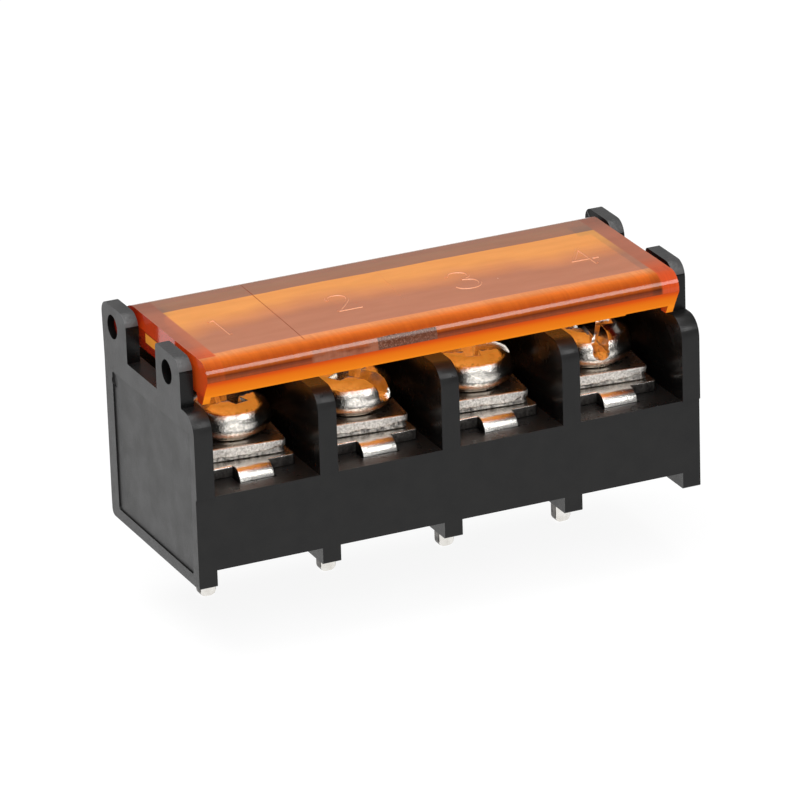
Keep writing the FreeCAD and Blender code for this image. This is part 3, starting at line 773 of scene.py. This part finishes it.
def cover_face(x, y, z, n):
    ax, ay = abs(x), abs(y)
    # painted highlight on the sides of the raised digits and of the faint line near x = -0.75; the mould line keeps the
    # skin
    if z > 16.655 and n.z < 0.95:
        return 4 if abs(x + 10.2) > 0.4 else 0
    if ax > 17.6 and abs(n.x) > 0.6:
        return 3
    inside = ax < 17.0 and -7.05 < y < 6.3 and z < 15.5
    if inside and not (n.z < -0.7 and z < 14.1):
        return 1
    if z < 15.33 and ay > 5.7 and n.z > -2:
        return 2
    if z < 15.33:
        return 3
    return 5 if z < (15.88 if x < 16.9 else 15.60) and y < -7.85 else 0


place(cover, "cover", [M_AMBER, M_AMBER_IN_GLOW, M_AMBER_LIP_GLOW, M_AMBER_END_LIT, M_MARK_EDGE_LIT, M_AMBER_LOW], cover_face)

# ------------------------------------------------------------------ terminals
for n in range(1, 5):
    o = weighted(copy_of("terminal_%d" % n, "terminal_plate_%d" % n, 0.10, 3), 40)

    # slot 1: edge faces, in the painted-shade tin
    def terminal_face(x, y, z, nn):
        if z > 6.6 and abs(nn.z) < 0.3 and y > -5.6:
            return 1
        if abs(nn.x) > 0.7:
            return 1
        return 0

    place(o, "terminal_%d" % n, [M_TIN, M_TIN_EDGE_SHADE], terminal_face)


# ------------------------------------------------------------------ clamp washers
def washer(n, turn=-6.0, side=6.7, corner=0.6, thick=1.0, low=7.72, hole=1.8):
    """Sheared square washer: rolled top edge, smooth band, rough torn band below it."""
    hs, N = side / 2, 280
    straight, quarter = side - 2 * corner, math.pi * corner / 2
    total = 4 * (straight + quarter)
    ring = []                               # (u, v, outward normal, along the front edge -1..1 or None)
    for i in range(N):
        d = total * i / N
        leg = int(d // (straight + quarter))
        e = d - leg * (straight + quarter)
        if e < straight:
            u, v, nu, nv = -hs + corner + e, -hs, 0.0, -1.0
        else:
            a = (e - straight) / corner
            u = hs - corner + corner * math.sin(a)
            v = -hs + corner - corner * math.cos(a)
            nu, nv = math.sin(a), -math.cos(a)
        c, s_ = [(1, 0), (0, 1), (-1, 0), (0, -1)][leg]
        ring.append((u * c - v * s_, u * s_ + v * c, nu * c - nv * s_, nu * s_ + nv * c, leg, u / hs))
    x0 = POLES[n - 1]
    ca, sa = math.cos(math.radians(turn)), math.sin(math.radians(turn))
    seed = 17.3 * n
    rows = []                               # each row: (kind, inset, height)

    def tear_at(u, v, leg, f, seed):
        """Height of the torn line along the sheared edge."""
        t_ = 0.34 + 0.14 * noise.noise(Vector((u * 1.1 + seed, v * 1.1, 4.0))) + 0.09 * noise.noise(Vector((u * 5 + seed, v * 5, 9.0)))
        return t_ + (0.34 * sstep((f - 0.45) / 0.5) if leg == 0 else 0.0)

    rows += [("hole", 0, 0.02), ("hole", 0, 0.5), ("hole", 0, 0.93)]
    rows += [("top", t, thick) for t in (0.03, 0.12, 0.28, 0.45, 0.62, 0.78, 0.90, 1.0)]
    rows += [("side", 0.16, 0.992), ("side", 0.10, 0.975), ("side", 0.05, 0.945), ("side", 0.02, 0.90)]
    rows += [("side", 0.0, h) for h in (0.84, 0.77, 0.70, 0.63, 0.56, 0.50, 0.44, 0.38, 0.32, 0.26, 0.20, 0.14, 0.08, 0.03)]
    rows += [("side", 0.05, 0.0), ("low", 0.85, 0.0), ("low", 0.4, 0.0), ("low", 0.06, 0.0)]
    verts, faces, torn = [], [], []
    for kind, a, h in rows:
        for i, (u, v, nu, nv, leg, f) in enumerate(ring):
            rad = math.hypot(u, v)
            hu, hv = u / rad * hole, v / rad * hole
            z = h
            if kind == "hole":
                k = 1.0 + (0.05 if h > 0.9 or h < 0.05 else 0.0)
                pu, pv = hu * k, hv * k
            elif kind in ("top", "low"):
                eu, ev = u - nu * 0.24, v - nv * 0.24
                k = 0.02 + 0.98 * a
                pu, pv = hu * 1.05 * (1 - k) + eu * k, hv * 1.05 * (1 - k) + ev * k
                if kind == "top":
                    w = noise.noise(Vector((pu * 0.9 + seed, pv * 0.9, 1.0)))
                    z = thick - 0.006 - 0.03 * a ** 6 + 0.012 * w * a
            else:
                tear = tear_at(u, v, leg, f, seed)
                t = sstep((tear - h) / 0.07)
                grit = noise.noise(Vector((u * 6 + seed, v * 6, h * 7))) + 0.6 * noise.noise(Vector((u * 15 + seed, v * 15, h * 13)))
                deep = t * (0.15 + 0.06 * grit + (0.05 * sstep((f - 0.5) / 0.4) if leg == 0 else 0))
                deep += (1 - t) * (0.008 + 0.006 * grit) if h < 0.93 else 0
                if 0.0 < h < 0.1:
                    deep *= 0.5
                pu, pv = u - nu * (a + deep), v - nv * (a + deep)
                z = h - 0.035 * sstep((1 - abs(h - 1.0) / 0.2)) * max(0.0, abs(f) - 0.75) * 4 if h > 0.8 else h
                if h == 0.0:
                    z = 0.0
            verts.append((x0 + pu * ca - pv * sa, SCREW_Y + pu * sa + pv * ca, low + z))
    R_ = len(rows)
    for r in range(R_):
        q = (r + 1) % R_
        for i in range(N):
            j = (i + 1) % N
            faces.append((r * N + i, r * N + j, q * N + j, q * N + i))
            kind, _, h = rows[r]
            u, v, _, _, leg, f = ring[i]
            # slot 2: the torn band, in metal with painted shade
            torn.append(0 if kind != "side" or h > 0.945 else (2 if h < tear_at(u, v, leg, f, seed) + 0.01 else 1))
    o = mesh_object("washer_plate_%d" % n, verts, faces)
    for p, t in zip(o.data.polygons, torn):
        p.material_index = t
    outward(o)
    return marked(o, 50)


for n in range(1, 5):
    o = washer(n)
    keep = [p.material_index for p in o.data.polygons]
    place(o, "clamp_washer_%d" % n, [M_STEEL, M_SHEAR, M_TORN_SHADE])
    for p, k in zip(o.data.polygons, keep):
        p.material_index = k


# ------------------------------------------------------------------ clamp screws
def screw_head():
    """Pan head with a drafted slot across it and a tapered cross recess."""
    hh, seat = 2.52, 0.22
    prof = [(0.0, hh), (0.7, hh), (1.4, hh), (1.8, hh)]
    prof += arc3((2.0, hh), (2.40, hh - 0.16), (2.77, hh - 0.38), 8)
    prof += arc3((2.77, hh - 0.38), (3.0, hh - 0.76), (3.15, seat + 1.10), 10)[1:]
    prof += arc3((3.15, seat + 1.10), (3.08, seat + 0.46), (2.72, seat), 10)[1:]
    prof += [(2.62, seat - 0.015), (2.44, seat), (2.40, 0.03), (2.36, 0.0), (1.60, 0.0), (1.45, -0.10), (1.45, -0.55), (0.0, -0.55)]
    v, f = lathe(prof, 120)
    head = outward(mesh_object("head", v, f))
    low, over = hh - 1.30, hh + 0.30
    hb, ho = 0.525, 0.525 + 0.225 * 1.6 / 1.3
    slot = [(-hb + 0.12, low), (hb - 0.12, low), (hb - 0.03, low + 0.04), (hb, low + 0.14), (ho, over), (-ho, over), (-hb, low + 0.14), (-hb + 0.03, low + 0.04)]
    v, f = extruded(slot, "x", -4.0, 4.0)
    boolean(head, outward(mesh_object("tool", v, f)), "DIFFERENCE")
    for sign in (1, -1):
        v, f = lathe([(0.0, 0.0), (0.2, 0.0), (0.98, 1.3), (0.0, 1.3)], 40)
        v = [(sign * (2.3 + p[2]), p[1], hh - 1.02 + p[0]) for p in v]
        boolean(head, outward(mesh_object("tool", v, f)), "DIFFERENCE")

    def cross(reach, half, z):
        return [(reach, -half, z), (reach, half, z), (half, half, z), (half, reach, z), (-half, reach, z), (-half, half, z),
                (-reach, half, z), (-reach, -half, z), (-half, -half, z), (-half, -reach, z), (half, -reach, z), (half, -half, z)]

    stack = [cross(0.62, 0.24, hh - 1.75), cross(0.95, 0.36, hh - 1.45), cross(1.50, 0.47, hh - 0.65), cross(1.80, 0.55, hh), cross(1.90, 0.58, hh + 0.2)]
    v = [p for ring in stack for p in ring]
    f = [tuple(range(12))[::-1], tuple(range(48, 60))]
    for k in range(4):
        f += [(12 * k + i, 12 * k + (i + 1) % 12, 12 * k + 12 + (i + 1) % 12, 12 * k + 12 + i) for i in range(12)]
    boolean(head, outward(mesh_object("tool", v, f)), "DIFFERENCE")
    bevelled(head, 0.055, 2, 32)
    return weighted(head, 40)


def thread(pitch=0.6, crest=1.70, root=1.36, top=-0.40, tip=-6.0):
    """Helical ridge down the shank, closed at both ends."""
    seg, per = 72, 10
    rows = int((top - (tip + 0.5)) / pitch * per)
    verts, faces = [(0, 0, top)], []
    for r in range(rows + 1):
        z = top - r * pitch / per
        fade = min(1.0, r / 6.0, 1.0)
        for i in range(seg):
            a = 2 * math.pi * i / seg
            ph = (z / pitch - i / seg) % 1.0
            tri = abs(ph - 0.5) * 2
            k = sstep((tri - 0.08) / 0.84)
            rad = root + (crest - root) * k * fade
            verts.append((rad * math.cos(a), rad * math.sin(a), z))
    for i in range(seg):
        a = 2 * math.pi * i / seg
        verts.append((1.12 * math.cos(a), 1.12 * math.sin(a), tip))
    verts.append((0, 0, tip))
    last = len(verts) - 1
    for i in range(seg):
        j = (i + 1) % seg
        faces.append((0, 1 + i, 1 + j))
        for r in range(rows + 1):
            a, b = 1 + r * seg, 1 + (r + 1) * seg
            faces.append((a + i, b + i, b + j, a + j))
        faces.append((1 + (rows + 1) * seg + i, last, 1 + (rows + 1) * seg + j))
    return outward(mesh_object("shank", verts, faces))


def joined(a, b, mat_a=0, mat_b=1):
    """Mesh of b added to a, with b's faces on their own material."""
    bm = bmesh.new()
    bm.from_mesh(a.data)
    for f in bm.faces:
        f.material_index = mat_a
    start = len(bm.faces)
    bm.from_mesh(b.data)
    bm.faces.ensure_lookup_table()
    for f in bm.faces[start:]:
        f.material_index = mat_b
        f.smooth = True
    bm.to_mesh(a.data)
    bm.free()
    data = b.data
    bpy.data.objects.remove(b)
    bpy.data.meshes.remove(data)
    return a


head = screw_head()
for n in range(1, 5):
    o = new_object("screw_piece_%d" % n, head.data.copy())
    joined(o, thread())
    keep = [p.material_index for p in o.data.polygons]
    o.location = (POLES[n - 1] * MM, SCREW_Y * MM, SCREW_Z * MM)
    o.rotation_euler = (0, 0, math.radians(SLOTS[n - 1]))
    place(o, "clamp_screw_%d" % n, [M_NICKEL, M_THREAD, M_RIM])
    for p, k in zip(o.data.polygons, keep):
        c = p.center / MM
        flank = k == 0 and math.hypot(c.x, c.y) > 2.62 and c.z < 2.30 and (p.normal.x * c.x + p.normal.y * c.y) > 0.3
        p.material_index = 2 if flank else k
bpy.data.objects.remove(head)
